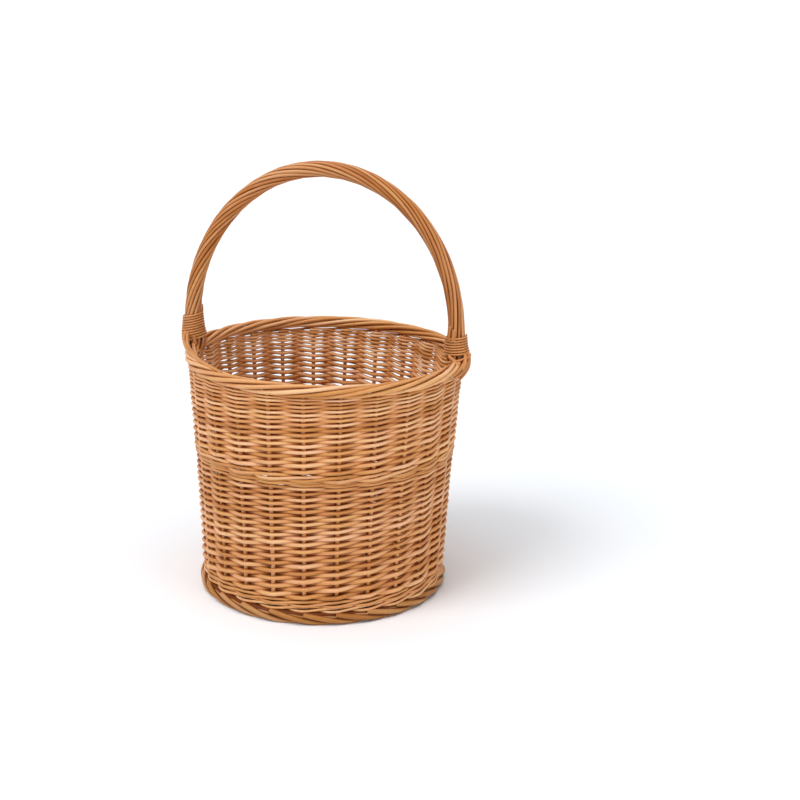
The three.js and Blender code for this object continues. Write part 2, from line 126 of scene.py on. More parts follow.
def rods(lines, radii, across=(0, 0, 1), sides=8, section=None, squeeze=1.0, outward=None):
    # a section carried along each line: middle + radius * (u * one + v * two), where one and two
    # are square to the line's direction and one leans towards across. Given the way out of a bundle,
    # the skin counts as tucked in where it turns from that way towards the rods beside it, and is painted
    # in shade there
    lines = np.asarray(lines, float)
    lines = lines[None] if lines.ndim == 2 else lines
    count, steps = lines.shape[:2]
    section = circleSection(sides) if section is None else section
    sides = len(section)
    radii = np.broadcast_to(radii, (count, steps))
    squeeze = np.broadcast_to(squeeze, (count, steps))
    ahead = np.gradient(lines, axis=1)
    ahead /= np.linalg.norm(ahead, axis=-1, keepdims=True)
    across = np.broadcast_to(np.asarray(across, float), lines.shape)
    one = across - np.sum(across * ahead, -1, keepdims=True) * ahead
    one /= np.linalg.norm(one, axis=-1, keepdims=True)
    two = np.cross(ahead, one)
    u = section[:, 0] * (radii * squeeze)[..., None]
    v = section[:, 1] * radii[..., None]
    skin = lines[:, :, None] + u[..., None] * one[:, :, None] + v[..., None] * two[:, :, None]
    run = np.cumsum(np.linalg.norm(np.diff(lines, axis=1, prepend=lines[:, :1]), axis=-1), axis=1)
    start = rng.uniform(0, grainReach, (count, 1, 1))
    grain = np.stack(np.broadcast_arrays(run[..., None] + start, u + start, v + start), -1)
    spot = np.arange(count * steps * sides).reshape(count, steps, sides)
    after = np.roll(spot, -1, axis=2)
    quads = np.stack([spot[:, :-1], after[:, :-1], after[:, 1:], spot[:, 1:]], -1)
    caps = np.concatenate([spot[:, 0, ::-1], spot[:, -1]])
    ends = np.zeros((count, steps, sides), int)
    ends[:, 0] = 1 + 2 * np.arange(count)[:, None]
    ends[:, -1] = 2 + 2 * np.arange(count)[:, None]
    tint = np.broadcast_to(rng.uniform(0, 1, (count, 1, 1)), ends.shape)
    tuck = np.zeros(ends.shape)
    if outward is not None:
        facing = [np.sum(way * outward, -1)[..., None] for way in (one, two)]
        tuck = tuckedBelow(section[:, 0] * facing[0] + section[:, 1] * facing[1], tuckLimits["bundle"])
    return {
        "points": skin.reshape(-1, 3),
        "grain": grain.reshape(-1, 3),
        "tint": tint.ravel(),
        "tuck": tuck.ravel(),
        "ends": ends.ravel(),
        "middle": np.repeat(np.hypot(lines[..., 0], lines[..., 1]).ravel(), sides),
        "thick": np.repeat(np.asarray(radii).ravel(), sides),
        "quads": quads.reshape(-1, 4),
        "caps": caps,
        "sides": sides,
        "pace": float(run[:, -1].mean() / (steps - 1)),
        "girth": float(2 * np.pi * radii.mean()),
    }


def tuckedRods(part):
    # this mask sets where the woven rods' skin is painted in shade
    # how deep each point of a woven rod lies between its neighbours. How far the point is out from the
    # wall's middle, times how far its skin faces out, is large on the crest of a stroke on either face
    # of the wall and below 0 on skin that looks through the wall: 1 there, easing to 0 at the crests
    points = part["points"]
    around = np.hypot(points[:, 0], points[:, 1])
    crest = (around - wallRadius(points[:, 2])) * (around - part["middle"]) / part["thick"]
    return {**part, "tuck": tuckedBelow(crest, tuckLimits["weave"])}


skinSheet = {"capRow": 0.04, "capRadius": 0.4, "margin": 0.03}  # shares of the map, a cell and a row


def packedMap(parts):
    # every rod's skin unrolled into strips, strips stacked in rows, one band of rows for each part,
    # and the cut ends as small discs in a row of their own at the foot of the map
    capRow, margin = skinSheet["capRow"], skinSheet["margin"]
    areas = np.array([len(p["quads"]) / p["sides"] * p["pace"] * p["girth"] for p in parts])
    shares = (1 - capRow) * areas / areas.sum()
    capCount = sum(len(p["caps"]) for p in parts)
    capCell = np.array([1 / capCount, capRow])
    low, capAt, flat = capRow, 0, []
    for part, share in zip(parts, shares):
        sides, lengths = part["sides"], len(part["quads"]) // part["sides"]
        rows = max(1, round(np.sqrt(lengths * share * part["pace"] / part["girth"])))
        perRow = int(np.ceil(lengths / rows))
        place = np.arange(lengths)[:, None]
        column, row = place % perRow, place // perRow
        side = np.arange(sides)[None]
        left, right = column / perRow, (column + 1) / perRow
        foot = low + share / rows * (row + margin + (1 - 2 * margin) * side / sides)
        head = low + share / rows * (row + margin + (1 - 2 * margin) * (side + 1) / sides)
        left, right = np.broadcast_to(left, foot.shape), np.broadcast_to(right, foot.shape)
        corners = [(left, foot), (left, head), (right, head), (right, foot)]
        flat.append(np.stack([np.stack(c, -1) for c in corners], -2).reshape(-1, 2))
        disc = (circleSection(sides) * skinSheet["capRadius"] + 0.5) * capCell
        cell = (capAt + np.arange(len(part["caps"])))[:, None, None] * [capCell[0], 0]
        flat.append((disc[None] + cell).reshape(-1, 2))
        low, capAt = low + share, capAt + len(part["caps"])
    return np.concatenate(flat)


def addPiece(name, parts, finish, nodes):
    # puts the parts' arrays into one mesh with foreach_set, and stands it in for its nodes
    base, loops, totals, cut, ends, endBase = 0, [], [], [], [], 0
    for part in parts:
        loops += [(part["quads"] + base).ravel(), (part["caps"] + base).ravel()]
        totals += [np.full(len(part["quads"]), 4), np.full(len(part["caps"]), part["sides"])]
        cut += [np.zeros(len(part["quads"])), np.ones(len(part["caps"]))]
        ends.append(np.where(part["ends"] > 0, part["ends"] + endBase, 0))
        base += len(part["points"])
        endBase += int(part["ends"].max())
    loops, totals, ends = np.concatenate(loops), np.concatenate(totals), np.concatenate(ends)
    points = np.concatenate([p["points"] for p in parts]) * mm
    mesh = bpy.data.meshes.new(name)
    mesh.vertices.add(len(points))
    mesh.vertices.foreach_set("co", points.ravel())
    mesh.loops.add(len(loops))
    mesh.loops.foreach_set("vertex_index", loops)
    mesh.polygons.add(len(totals))
    mesh.polygons.foreach_set("loop_start", np.cumsum(totals) - totals)
    mesh.polygons.foreach_set("use_smooth", np.ones(len(totals), bool))
    mesh.update(calc_edges=True)
    edges = np.empty(len(mesh.edges) * 2, int)
    mesh.edges.foreach_get("vertices", edges)
    pair = ends[edges.reshape(-1, 2)]
    sharp = (pair[:, 0] == pair[:, 1]) & (pair[:, 0] > 0)
    mesh.attributes.new("sharp_edge", "BOOLEAN", "EDGE").data.foreach_set("value", sharp)
    grain = np.concatenate([p["grain"] for p in parts]) * mm
    mesh.attributes.new("grainPlace", "FLOAT_VECTOR", "POINT").data.foreach_set("vector", grain.ravel())
    # rodTint is each rod's own colour; the tuck mask is where the skin is painted in shade
    for key, label in (("tint", "rodTint"), ("tuck", "rodTuckShade")):
        values = np.concatenate([p[key] for p in parts])
        mesh.attributes.new(label, "FLOAT", "POINT").data.foreach_set("value", values)
    mesh.attributes.new("cutEnd", "FLOAT", "FACE").data.foreach_set("value", np.concatenate(cut))
    skinMap = mesh.uv_layers.new(name="OFBake")
    skinMap.uv.foreach_set("vector", packedMap(parts).ravel())
    mesh.materials.append(finish)
    piece = bpy.data.objects.new(name, mesh)
    bpy.context.scene.collection.objects.link(piece)
    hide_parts(*nodes)
    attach(piece, "root")
    return piece


def willow(name, look):
    # peeled buff willow: a colour for each rod, long streaks and soft blotches along it, small dark
    # specks, painted shade, browner, where it is tucked between others, and pith where it is cut
    finish = bpy.data.materials.new(name)
    finish.use_nodes = True
    tree = finish.node_tree
    tree.nodes.clear()

    def node(kind, **sockets):
        made = tree.nodes.new(kind)
        for key, value in sockets.items():
            made.inputs[key.replace("_", " ")].default_value = value
        return made

    def reading(label, output):
        made = tree.nodes.new("ShaderNodeAttribute")
        made.attribute_name = label
        return made.outputs[output]

    def stretched(scale):
        made = tree.nodes.new("ShaderNodeMapping")
        made.inputs["Scale"].default_value = scale
        tree.links.new(reading("grainPlace", "Vector"), made.inputs["Vector"])
        return made.outputs["Vector"]

    def noise(scale, detail, rough):
        made = node("ShaderNodeTexNoise", Scale=1.0, Detail=detail, Roughness=rough)
        tree.links.new(stretched(scale), made.inputs["Vector"])
        return made.outputs["Fac"]

    def sums(kind, first, second, clamp=False):
        made = tree.nodes.new("ShaderNodeMath")
        made.operation = kind
        made.use_clamp = clamp
        for socket, value in zip(made.inputs, (first, second)):
            if isinstance(value, (int, float)):
                socket.default_value = value
            else:
                tree.links.new(value, socket)
        return made.outputs[0]

    def ramp(value, stops):
        made = tree.nodes.new("ShaderNodeValToRGB")
        while len(made.color_ramp.elements) < len(stops):
            made.color_ramp.elements.new(0.5)
        for element, (at, colour) in zip(made.color_ramp.elements, stops):
            element.position = at
            element.color = (*colour, 1)
        tree.links.new(value, made.inputs[0])
        return made.outputs[0]

    def blend(share, first, second, kind="MIX"):
        made = tree.nodes.new("ShaderNodeMix")
        made.data_type = "RGBA"
        made.blend_type = kind
        colourIn = [s for s in made.inputs if s.type == "RGBA"]
        for socket, value in ((made.inputs[0], share), (colourIn[0], first), (colourIn[1], second)):
            if isinstance(value, (int, float)):
                socket.default_value = value
            elif isinstance(value, tuple):
                socket.default_value = (*value, 1)
            else:
                tree.links.new(value, socket)
        return [s for s in made.outputs if s.type == "RGBA"][0]

    streaks, blotches = noise(*look["streaks"]), noise(*look["blotches"])
    tint = reading("rodTint", "Fac")
    shade = sums("MULTIPLY", tint, look["rodShare"])
    shade = sums("ADD", shade, sums("MULTIPLY", blotches, look["blotchShare"]))
    shade = sums("ADD", shade, sums("MULTIPLY", streaks, look["streakShare"]), clamp=True)
    skin = blend(1.0, ramp(shade, look["skin"]), look["tone"], "MULTIPLY")
    specks = ramp(noise(*look["specks"]), look["speckEdge"])
    skin = blend(sums("MULTIPLY", specks, look["speckShare"]), skin, look["speck"])
    skin = blend(look["flushShare"], skin, ramp(noise(*look["flushes"]), look["flush"]), "MULTIPLY")
    # painted shade: the skin is darkened and browned by the tuck mask, where rods lie between others
    tuckShadeMix = sums("MULTIPLY", reading("rodTuckShade", "Fac"), look["tuckShadeShare"])
    skin = blend(tuckShadeMix, skin, look["tuckShade"], "MULTIPLY")
    colour = blend(reading("cutEnd", "Fac"), skin, ramp(noise(*look["pores"]), look["pith"]))
    shader = node("ShaderNodeBsdfPrincipled", IOR=1.45, Specular_IOR_Level=look["shine"])
    tree.links.new(colour, shader.inputs["Base Color"])
    gloss = tree.nodes.new("ShaderNodeMapRange")
    gloss.inputs["To Min"].default_value = look["glossy"]
    gloss.inputs["To Max"].default_value = look["dull"]
    tree.links.new(streaks, gloss.inputs["Value"])
    tree.links.new(gloss.outputs["Result"], shader.inputs["Roughness"])
    relief = node("ShaderNodeBump", Strength=look["relief"], Distance=look["reliefDepth"])
    tree.links.new(streaks, relief.inputs["Height"])
    tree.links.new(relief.outputs["Normal"], shader.inputs["Normal"])
    out = tree.nodes.new("ShaderNodeOutputMaterial")
    tree.links.new(shader.outputs["BSDF"], out.inputs["Surface"])
    return finish


# A noise is given as its cycles in a metre along and across the rod, its detail and its roughness
willowLook = {
    "streaks": ((22, 900, 900), 3, 0.6),
    "blotches": ((34, 120, 120), 2, 0.5),
    "flushes": ((11, 60, 60), 1, 0.5),
    "specks": ((260, 800, 800), 1, 0.4),
    "pores": ((400, 1500, 1500), 1, 0.5),
    "skin": [
        (0.12, (0.34, 0.125, 0.024)),
        (0.38, (0.59, 0.280, 0.090)),
        (0.62, (0.74, 0.412, 0.185)),
        (0.90, (0.88, 0.600, 0.380)),
    ],
    "flush": [(0.35, (1.0, 0.98, 0.84)), (0.65, (1.0, 0.94, 1.0))],
    "flushShare": 0.85,
    "speckEdge": [(0.24, (1, 1, 1)), (0.3, (0, 0, 0))],
    "speckShare": 0.5,
    "speck": (0.25, 0.09, 0.025),
    # painted shade: the colour the skin is multiplied by where rods are tucked in, and how much of it
    "tuckShade": (0.59, 0.29, 0.05),
    "tuckShadeShare": 0.9,
    "pith": [(0.3, (0.52, 0.31, 0.13)), (0.6, (0.80, 0.62, 0.38))],
    "rodShare": 0.5,
    "blotchShare": 0.45,
    "streakShare": 0.25,
    "shine": 0.4,
    "glossy": 0.34,
    "dull": 0.55,
    "relief": 0.35,
    "reliefDepth": 0.0004,
}
# What each piece's skin has of its own: its tone, and the painted shade where it is tucked in
ownLooks = {
    "low_weave": {"tone": (1.08, 0.98, 0.86), "tuckShadeShare": 1.0, "tuckShade": (0.48, 0.21, 0.02)},
    "weave": {"tone": (1.14, 1.07, 0.96)},
    "wale": {"tone": (1.06, 1.0, 0.90), "rodShare": 0.4},
    "stakes": {"tone": (1.3, 1.24, 1.22), "rodShare": 0.3},
    "rim": {"tone": (1.10, 1.03, 0.90), "rodShare": 0.52, "tuckShadeShare": 0.5},
    # the foot: a darker tone as painted shade near the floor, and deeper painted shade where tucked in
    "foot": {"tone": (0.73, 0.63, 0.49), "rodShare": 0.45, "shine": 0.2, "tuckShadeShare": 1.0,
             "tuckShade": (0.28, 0.12, 0.005)},
    "handle": {"tone": (0.81, 0.585, 0.365), "rodShare": 0.62, "glossy": 0.28, "dull": 0.48,
               "tuckShadeShare": 1.0, "tuckShade": (0.30, 0.10, 0.01)},
    "binding": {"tone": (0.90, 0.73, 0.55), "rodShare": 0.25},
}
skins = {key: willow("peeled_willow_" + key, {**willowLook, **own}) for key, own in ownLooks.items()}
print("willow skins ready")

# The slath: three sticks with a slit, and three pushed through the slits
baseFrame = {"ringReach": 119.2, "spacing": 8.0, "crossing": 20.0, "samples": 97, "easedOver": 13,
             "stickRadius": 3.25, "slitHalf": 11.5, "slitRise": 2.0, "slitEase": 8.0, "slitThins": 0.9,
             "closedGap": 0.02, "shaved": 0.45, "shaveEase": 6.0}
stickLow, stickHigh = levels("base_stick_through_2")
baseMiddle = (stickLow + stickHigh) / 2
rayTurn = wall["firstStake"] + np.pi / wall["stakes"]


def stickRun(lane, turn):
    # a stick seen from above: straight across the middle, then fanned out to its ray, corners eased
    reach, side = baseFrame["ringReach"], lane * baseFrame["spacing"]
    fan = lane * np.pi / 6
    knots = np.array([[-reach * np.cos(fan), reach * np.sin(fan)], [-baseFrame["crossing"], side],
                      [baseFrame["crossing"], side], [reach * np.cos(fan), reach * np.sin(fan)]])
    x = np.linspace(-1, 1, baseFrame["samples"]) * abs(knots[0, 0])
    y = np.interp(x, knots[:, 0], knots[:, 1])
    beyond = np.arange(1, baseFrame["easedOver"] // 2 + 1)
    before, after = y[0] + (y[0] - y[1]) * beyond[::-1], y[-1] + (y[-1] - y[-2]) * beyond
    window = np.ones(baseFrame["easedOver"]) / baseFrame["easedOver"]
    y = np.convolve(np.concatenate([before, y, after]), window, "valid")
    return x, np.stack([x * np.cos(turn) - y * np.sin(turn), x * np.sin(turn) + y * np.cos(turn)], -1)


halfRound = np.concatenate([circleSection(16)[12:], circleSection(16)[:5]])
for lane in (-1, 0, 1):
    x, plan = stickRun(lane, rayTurn)
    # 1 in the slit, 0 where the stick is whole
    opened = smooth((baseFrame["slitHalf"] + baseFrame["slitEase"] - np.abs(x)) / baseFrame["slitEase"])
    halves = []
    for up in (1, -1):
        height = baseMiddle + up * (baseFrame["closedGap"] + baseFrame["slitRise"] * opened)
        line = np.column_stack([plan, height])
        thick = baseFrame["stickRadius"] - baseFrame["slitThins"] * opened
        flatter = thick / baseFrame["stickRadius"]
        halves.append(rods(line, thick, (0, 0, up), section=halfRound, squeeze=flatter))
    addPiece(f"splitStick_{lane + 2}", halves, skins["stakes"], [f"base_stick_pierced_{lane + 2}"])
    x, plan = stickRun(lane, rayTurn + np.pi / 2)
    line = np.column_stack([plan, np.full(len(x), baseMiddle)])
    inSlit = smooth((baseFrame["slitHalf"] + baseFrame["shaveEase"] - np.abs(x)) / baseFrame["shaveEase"])
    shaved = 1 - baseFrame["shaved"] * inSlit
    addPiece(f"crossStick_{lane + 2}", [rods(line, baseFrame["stickRadius"], sides=12, squeeze=shaved)],
             skins["stakes"], [f"base_stick_through_{lane + 2}"])

basePairing = {"innerRadius": 20.5, "outerRadius": 118.9, "rowPitch": 4.3, "rodRadius": 1.72,
               "crossingShift": 1.15, "squareness": 2.4, "wander": 0.2, "wanderWaves": (1.3, 2.9),
               "samplesPerTurn": 84}


def pairedRows(look):
    # two rods twisted over and under the rays: height goes as a squared-off cosine of six times the
    # angle, the rods pass each other by a sine of it, and the radius grows by one row in a turn
    turns = (look["outerRadius"] - look["innerRadius"]) / look["rowPitch"]
    a = np.linspace(0, 2 * np.pi * turns, int(turns * look["samplesPerTurn"]))[None]
    flip = np.array([[1.0], [-1.0]])
    lift = flip * np.tanh(look["squareness"] * np.cos(6 * a)) / np.tanh(look["squareness"])
    rise = baseFrame["stickRadius"] + look["rodRadius"]
    radius = look["innerRadius"] + look["rowPitch"] * a / (2 * np.pi)
    radius = radius + flip * look["crossingShift"] * np.sin(6 * a)
    radius = radius + sway(lift.shape, a, look["wander"], look["wanderWaves"])
    turn = a + rayTurn
    return np.stack([radius * np.cos(turn), radius * np.sin(turn), baseMiddle + rise * lift], -1)


basePart = rods(pairedRows(basePairing), basePairing["rodRadius"], sides=7)
addPiece("basePairing", [basePart], skins["weave"], ["base_weave"])
print("base woven")

# Stakes: a leg beside the base sticks, pricked up into the wall
stakeRods = {"leg": 34.0, "bend": 8.0, "footRadius": 2.4, "topRadius": 2.1, "top": 249.5, "wander": 0.012,
             "wanderWaves": (90.0, 41.0), "legSamples": 10, "bendSamples": 9, "wallSamples": 40}


def stakeProfile(look):
    # leg along the base, a quarter turn up, then the wall's own curve: radius and height
    edge = wallRadius(wall["flareLow"])
    leg = np.linspace(edge - look["bend"] - look["leg"], edge - look["bend"], look["legSamples"])
    a = np.linspace(0, np.pi / 2, look["bendSamples"])[1:-1]
    z = np.linspace(baseMiddle + look["bend"], look["top"], look["wallSamples"])
    radius = np.concatenate([leg, edge - look["bend"] + look["bend"] * np.sin(a), wallRadius(z)])
    flat, turning = np.full(len(leg), baseMiddle), baseMiddle + look["bend"] * (1 - np.cos(a))
    return radius, np.concatenate([flat, turning, z])


radius, height = stakeProfile(stakeRods)
thick = np.linspace(stakeRods["footRadius"], stakeRods["topRadius"], len(height))
for i in range(wall["stakes"]):
    drift = sway((1, len(height)), height[None], stakeRods["wander"], stakeRods["wanderWaves"])[0]
    a = turnAt(i + drift)
    line = np.column_stack([radius * np.cos(a), radius * np.sin(a), height])
    part = rods(line, thick, (-np.sin(turnAt(i)), np.cos(turnAt(i)), 0), sides=10)
    addPiece(f"uprightRod_{i + 1:02d}", [part], skins["stakes"], [f"stake_{i + 1:02d}"])
print("stakes stand")

# Randing: a weaver from every stake, in front of one stake and behind the next. The upper weavers
# run on to the rim, and their last turns stand for the top wale
weaving = {"samples": 8, "before": 3, "after": 10, "lag": 0.02, "insideGirth": 0.26, "clearance": 0.1,
           "wander": 0.34, "wanderWaves": (5.3, 2.6, 9.1), "uneven": 0.05, "unevenWaves": (3.7, 1.9),
           "girthPower": 0.9, "overTop": 0.3}
lowerRanding = {"node": "lower_weave", "top": "lower_weave", "rows": 17, "firstPitch": 9.1,
                "buttRadius": 2.45, "tipRadius": 1.7, "firstStroke": 1.0, "start": -0.6, "insideDrop": 1.8}
upperRanding = {"node": "upper_weave", "top": "top_wale", "rows": 15, "firstPitch": 7.6,
                "buttRadius": 2.15, "tipRadius": 1.25, "firstStroke": 0.2, "start": -1.4, "insideDrop": 1.7,
                "joinedBehind": 26}


def randedRods(look):
    # n counts stakes from the weaver's start, which lies behind its first stake. Distance from the
    # wall's middle is a zigzag with a bend at every stake. Height is half a pitch for each stake, the
    # pitch falling evenly, less a little on the inner half, where the rods are beaten down. Girth falls
    # from butt to tip by a power of the length run
    low, high = levels(look["node"])[0], levels(look["top"])[1]
    end = 2 * look["rows"] - 1
    firstLevel = low + look["firstStroke"]
    rise = high - look["tipRadius"] - firstLevel
    first = look["firstPitch"]
    last = 4 * rise / (end - 1) - first
    steps = weaving["samples"]
    n = np.arange(-weaving["before"], steps * end + weaving["after"])[None] / steps
    k = np.arange(wall["stakes"])[:, None]
    inside = (1 + zigzag(n - weaving["lag"])) / 2
    z = firstLevel + (first * (n - 1) + (last - first) * (n - 1) ** 2 / (2 * (end - 1))) / 2
    z = z - look["insideDrop"] * smooth(2 * inside - 1)
    wander = sway((wall["stakes"], n.size), n, weaving["wander"], weaving["wanderWaves"])
    z = z + wander * smooth(n) * smooth((end - n) / 2)
    z = np.clip(z, low + look["start"], high - look["tipRadius"] + weaving["overTop"])
    spent = np.clip(n / end, 0, 1) ** weaving["girthPower"]
    thick = look["buttRadius"] + (look["tipRadius"] - look["buttRadius"]) * spent
    thick = thick * rng.normal(1, weaving["uneven"], k.shape)
    thick = thick * (1 + sway(z.shape, n, weaving["uneven"], weaving["unevenWaves"]))
    swing = wall["stakeRadius"] + thick + weaving["clearance"]
    thick = thick * (1 + weaving["insideGirth"] * inside)
    return onWall(k + n, -swing * zigzag(n - weaving["lag"]), z), thick


lines, thick = randedRods(lowerRanding)
weavers = tuckedRods(rods(lines, thick, sides=8))
addPiece("lowerRanding", [weavers], skins["low_weave"], ["lower_weave"])
lines, thick = randedRods(upperRanding)
joint = weaving["samples"] * upperRanding["joinedBehind"] + weaving["before"]
weavers = tuckedRods(rods(lines[:, :joint + 1], thick[:, :joint + 1], sides=8))
addPiece("upperRanding", [weavers], skins["weave"], ["upper_weave"])
weavers = tuckedRods(rods(lines[:, joint:], thick[:, joint:], sides=8))
addPiece("topWale", [weavers], skins["weave"], ["top_wale"])
print("wall randed")

# Wales: level rows of three rods, each in front of two stakes and behind the third. A row has its
# middle's level, its rod's radius and its rise
waling = {"samples": 9, "lap": 0.45, "lag": 0.04, "dipReach": 0.75, "riseShare": 0.577, "turnOut": 0.45,
          "turnOutFrom": 0.25, "riseFrom": 1.5, "pullIn": 1.4, "wander": 0.25, "wanderWaves": (3.4, 7.7),
          "uneven": 0.1, "unevenWaves": (5.0, 11.0), "firstStart": 13, "startStep": 5}
wales = {
    "upsettWale": {"node": "upsett_wale", "rows": [(15.9, 1.6, 4.6), (21.6, 1.65, 4.8)],
                   "corner": {"radius": 122.3, "rodRadius": 1.75, "level": 0.9, "lift": 4.1, "shift": 1.0,
                              "lap": 0.3, "samples": 12}},
    "waistWale": {"node": "waist_wale", "rows": [(155.3, 1.5, 2.8), (161.3, 1.85, 4.4)]},
}


def waledRow(middle, thick, rise, start):
    # q counts stakes from the one a rod passes behind: it dips inside by a raised cosine within three
    # quarters of a spacing and is pulled in between the stakes by a sine, and its height goes as a sine
    # of period three, low then high in front
    k = np.arange(3)[:, None]
    count, lap = wall["stakes"], waling["lap"]
    s = np.linspace(-lap, count + lap, count * waling["samples"])[None] + np.zeros((3, 1))
    q = np.mod(s - waling["lag"], 3)
    near = np.minimum(q, 3 - q) / waling["dipReach"]
    dip = np.where(near < 1, 0.5 + 0.5 * np.cos(np.pi * near), 0)
    out = (wall["stakeRadius"] + thick) * (1 - 2 * dip)
    out = out + waling["turnOut"] * np.sin(2 * np.pi * (q - waling["turnOutFrom"]) / 3) * (1 - dip)
    out = out - waling["pullIn"] * np.abs(np.sin(np.pi * s))
    z = middle + rise * waling["riseShare"] * np.sin(2 * np.pi * (q - waling["riseFrom"]) / 3)
    z = z + sway(s.shape, s, waling["wander"], waling["wanderWaves"])
    girth = thick * (1 + sway(s.shape, s, waling["uneven"], waling["unevenWaves"]))
    return onWall(s + k + start, out, z), girth


def corneredRow(look):
    # two rods paired round the stakes where they bend up: height goes as a cosine that turns once in
    # two spacings, one rod up where the other is down, and they pass each other by a sine of it
    count, lap = wall["stakes"], look["lap"]
    s = np.linspace(-lap, count + lap, count * look["samples"])[None]
    flip = np.array([[1.0], [-1.0]])
    radius = look["radius"] + flip * look["shift"] * np.sin(np.pi * s)
    return onCircle(radius, s, baseMiddle + look["level"] + flip * look["lift"] * np.cos(np.pi * s))


for name, look in wales.items():
    parts = []
    if "corner" in look:
        parts.append(rods(corneredRow(look["corner"]), look["corner"]["rodRadius"], sides=8))
    for row, (middle, thick, rise) in enumerate(look["rows"]):
        lines, girth = waledRow(middle, thick, rise, waling["startStep"] * row + waling["firstStart"])
        parts.append(tuckedRods(rods(lines, girth, sides=8)))
    addPiece(name, parts, skins["wale"], [look["node"]])
print("wales laid")

# Rim and foot: rods rolled into a rope round the edge, with a rod inside the roll
rimRoll = {"node": "rim_border", "ringRadius": 143.0, "rollRadius": 4.9, "buttRadius": 2.35,
           "tipRadius": 1.7, "firstAngle": -95.0, "anglePerSpacing": 60.0, "spacings": 6.2, "bulge": 0.0,
           "sink": 0.0, "coreRadius": 2.2, "coreIn": 0.0, "coreLevel": 254.8, "coreLap": 0.2}
footRoll = {"node": "foot_border", "ringRadius": 130.3, "rollRadius": 3.7, "buttRadius": 3.0,
            "tipRadius": 2.0, "firstAngle": 66.0, "anglePerSpacing": -92.0, "spacings": 4.15, "bulge": 2.6,
            "sink": 2.6, "coreRadius": 3.9, "coreIn": 2.4, "coreLevel": 9.1, "coreLap": 0.1}
rolling = {"samples": 11, "coreSamples": 6, "sinkRun": 1.1, "bulgeTurn": 248.0, "startUneven": 0.02,
           "angleUneven": 4.0, "angleWander": 0.06, "angleWaves": (2.1, 3.7), "rollWander": 0.3,
           "rollWaves": (1.7, 4.1), "girthUneven": 0.04}


def ringAt(look, turn):
    # radius of a roll's middle line: the foot is a little oval, by a cosine of twice the turn
    return look["ringRadius"] + look["bulge"] * np.cos(2 * (turn - np.radians(rolling["bulgeTurn"])))


def rolledRods(look, count):
    # each rod turns round the ring's middle line by a fixed angle for each stake spacing, so the roll
    # is a rope: radius + roll * cosine, height + roll * sine. The foot's tips sink under the next butts
    low, high = levels(look["node"])
    v = np.linspace(0, look["spacings"], int(rolling["samples"] * look["spacings"]))[None]
    k = np.arange(count)[:, None] + rng.normal(0, rolling["startUneven"], (count, 1))
    uneven = rng.normal(0, rolling["angleUneven"], k.shape)
    angle = np.radians(look["firstAngle"] + look["anglePerSpacing"] * v + uneven)
    shape = (count, v.shape[1])
    angle = angle + sway(shape, v, rolling["angleWander"], rolling["angleWaves"])
    roll = look["rollRadius"] + sway(shape, v, rolling["rollWander"], rolling["rollWaves"])
    roll = roll - look["sink"] * smooth(v - look["spacings"] + rolling["sinkRun"])
    thick = look["buttRadius"] + (look["tipRadius"] - look["buttRadius"]) * v / look["spacings"]
    thick = thick * rng.normal(1, rolling["girthUneven"], k.shape)
    z = (low + high) / 2 + roll * np.sin(angle)
    z = np.maximum(z, thick) if low < 1 else z  # the foot's rods lie on the floor, not in it
    turn = turnAt(v + k)
    ring = ringAt(look, turn)
    outward = np.stack([np.cos(angle) * np.cos(turn), np.cos(angle) * np.sin(turn), np.sin(angle)], -1)
    return onCircle(ring + roll * np.cos(angle), v + k, z), thick, outward


def coreRod(look, sides):
    # the rod inside a roll, once round a little within the ring's middle line
    s = np.linspace(0, wall["stakes"] + look["coreLap"], wall["stakes"] * rolling["coreSamples"])[None]
    ring = ringAt(look, turnAt(s)) - look["coreIn"]
    return rods(onCircle(ring, s, look["coreLevel"]), look["coreRadius"], sides=sides)


lines, thick, outward = rolledRods(rimRoll, wall["stakes"])
rolled = rods(lines, thick, sides=10, outward=outward)
addPiece("rimRoll", [rolled, coreRod(rimRoll, 7)], skins["rim"], ["rim_border"])
lines, thick, outward = rolledRods(footRoll, wall["stakes"])
core = coreRod(footRoll, 12)
# painted shade: the foot's core is seen only between the rolled rods and is painted wholly in shade
core["tuck"] = np.ones(len(core["tuck"]))  # it is seen only between the rolled rods
rolled = rods(lines, thick, sides=12, outward=outward)
addPiece("footRoll", [rolled, core], skins["foot"], ["foot_border"])
print("rim and foot rolled")

# The handle: a bent core rod with twelve rods twisted round it
bow = {"halfWidth": 143.0, "spring": 283.8, "rise": 169.0, "start": 251.0, "rimTop": 261.8, "bundle": 8.6,
       "footSpread": 3.8, "spreadHeight": 40.0, "spreadPower": 1.5, "lean": -3.5, "leanHeight": 25.0,
       "curveSamples": 241, "samples": 150}


def evenly(line, count):
    # the same line at even steps of its length
    run = np.concatenate([[0], np.cumsum(np.linalg.norm(np.diff(line, axis=0), axis=1))])
    at = np.linspace(0, run[-1], count)
    return np.stack([np.interp(at, run, line[:, i]) for i in range(3)], -1), at


def leaning(z):
    # how far the handle stands to one side: nothing in the wall, the whole lean from the rim up
    return bow["lean"] * smooth((z - bow["start"]) / bow["leanHeight"])


def bowRun(count):
    # up the left foot, half an ellipse over, down the right foot, leaning a little left from the rim up
    a = np.linspace(np.pi, 0, bow["curveSamples"])
    x = bow["halfWidth"] * np.cos(a)
    z = bow["spring"] + bow["rise"] * np.sin(a)
    x = np.concatenate([[-bow["halfWidth"]], x, [bow["halfWidth"]]])
    z = np.concatenate([[bow["start"]], z, [bow["start"]]])
    line, at = evenly(np.column_stack([x, 0 * x, z]), count)
    line[:, 0] += leaning(line[:, 2])
    return line, at


